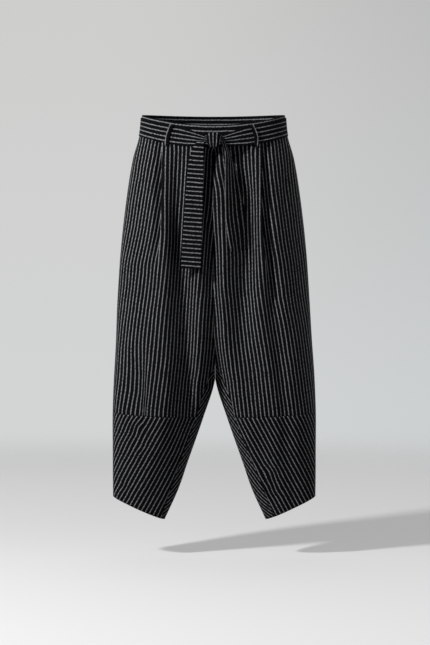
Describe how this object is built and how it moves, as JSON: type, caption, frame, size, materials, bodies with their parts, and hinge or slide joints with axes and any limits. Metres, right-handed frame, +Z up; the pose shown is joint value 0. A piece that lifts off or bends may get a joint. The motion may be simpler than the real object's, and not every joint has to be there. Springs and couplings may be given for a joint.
{
  "type": "chinese trousers",
  "caption": "Cropped low-crotch trousers in dark pinstriped cloth, filled out and hollow, with a pleated front, slanted lower-leg panels and a tied belt.",
  "frame": {"origin": "middle of the waist, level with the top of the band at the side seams, where the wearer's waist holds it", "axes": "+Z up out of the waist, the front faces -Y, +X to the right as seen from the front"},
  "size_m": [0.4552, 0.2621, 0.907],
  "materials": {
    "suiting": "matt woven twill with a light pinstripe",
    "belt": "the same pinstriped twill, doubled"
  },
  "bodies": {
    "root": {"waistband": "suiting", "front_left": "suiting", "front_right": "suiting", "back_left": "suiting", "back_right": "suiting", "lower_front_left": "suiting", "lower_front_right": "suiting", "lower_back_left": "suiting", "lower_back_right": "suiting", "loop_front_left": "suiting", "loop_front_right": "suiting", "loop_back_left": "suiting", "loop_back_right": "suiting", "loop_back_middle": "suiting", "belt_wrap": "belt", "belt_knot": "belt", "belt_tail_left": "belt", "belt_tail_right": "belt"}
  },
  "joints": []
}
